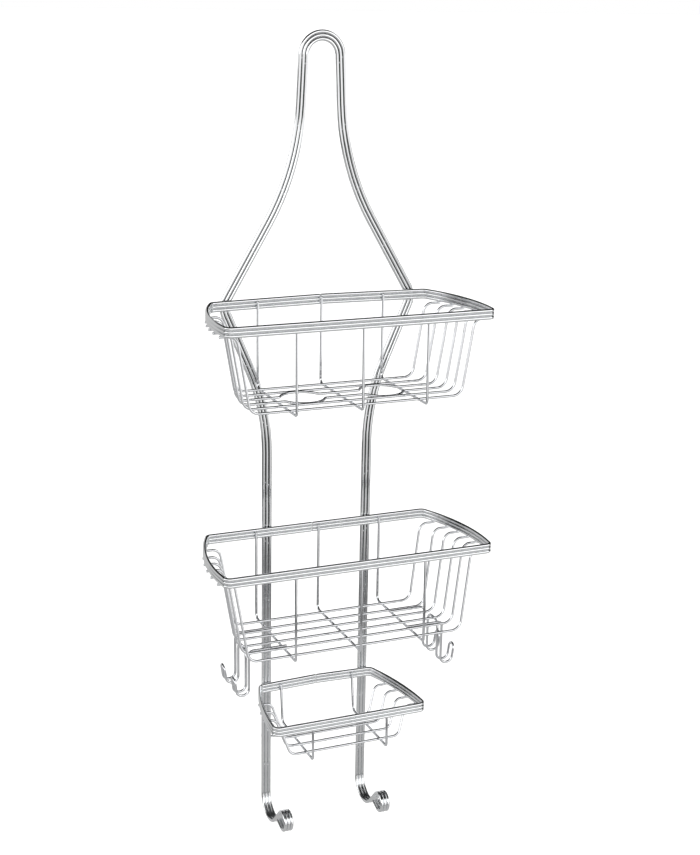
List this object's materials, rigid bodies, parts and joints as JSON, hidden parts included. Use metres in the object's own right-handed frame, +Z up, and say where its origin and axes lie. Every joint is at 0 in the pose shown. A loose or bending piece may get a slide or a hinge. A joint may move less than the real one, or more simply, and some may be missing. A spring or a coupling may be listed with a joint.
{
  "type": "shower caddy",
  "caption": "Chromed wire shower caddy that hangs by a loop, with two open baskets, a soap dish, bottle holes, razor hooks and washcloth hooks.",
  "frame": {"origin": "inside top of the hanging loop, in the middle of the frame's three side-by-side wires", "axes": "+Z up along the frame, +X to the right as seen from the front, +Y towards the wall; the baskets stand out towards -Y"},
  "size_m": [0.2694, 0.1216, 0.7699],
  "materials": {
    "frame_chrome": "polished",
    "rim_chrome": "polished",
    "basket_chrome": "polished"
  },
  "bodies": {
    "root": {"frame_wire_outer": "frame_chrome", "frame_wire_middle": "frame_chrome", "frame_wire_inner": "frame_chrome", "rear_brace_loop": "basket_chrome", "top_basket_rim_upper": "rim_chrome", "top_basket_rim_middle": "rim_chrome", "top_basket_rim_lower": "rim_chrome", "top_basket_cross_wire_1": "basket_chrome", "top_basket_cross_wire_2": "basket_chrome", "top_basket_cross_wire_3": "basket_chrome", "top_basket_long_wire_1": "basket_chrome", "top_basket_long_wire_2": "basket_chrome", "top_basket_long_wire_3": "basket_chrome", "top_basket_long_wire_4": "basket_chrome", "top_basket_long_wire_5": "basket_chrome", "top_basket_long_wire_6": "basket_chrome", "middle_basket_rim_upper": "rim_chrome", "middle_basket_rim_middle": "rim_chrome", "middle_basket_rim_lower": "rim_chrome", "middle_basket_cross_wire_1": "basket_chrome", "middle_basket_cross_wire_2": "basket_chrome", "middle_basket_cross_wire_3": "basket_chrome", "middle_basket_long_wire_1": "basket_chrome", "middle_basket_long_wire_2": "basket_chrome", "middle_basket_long_wire_3": "basket_chrome", "middle_basket_long_wire_4": "basket_chrome", "middle_basket_long_wire_5": "basket_chrome", "middle_basket_long_wire_6": "basket_chrome", "middle_basket_razor_hooks_left": "basket_chrome", "middle_basket_razor_hooks_right": "basket_chrome", "soap_dish_rim_upper": "rim_chrome", "soap_dish_rim_middle": "rim_chrome", "soap_dish_rim_lower": "rim_chrome", "soap_dish_cross_wire_1": "basket_chrome", "soap_dish_cross_wire_2": "basket_chrome", "soap_dish_long_wire_1": "basket_chrome", "soap_dish_long_wire_2": "basket_chrome", "soap_dish_long_wire_3": "basket_chrome", "soap_dish_long_wire_4": "basket_chrome"}
  },
  "joints": []
}
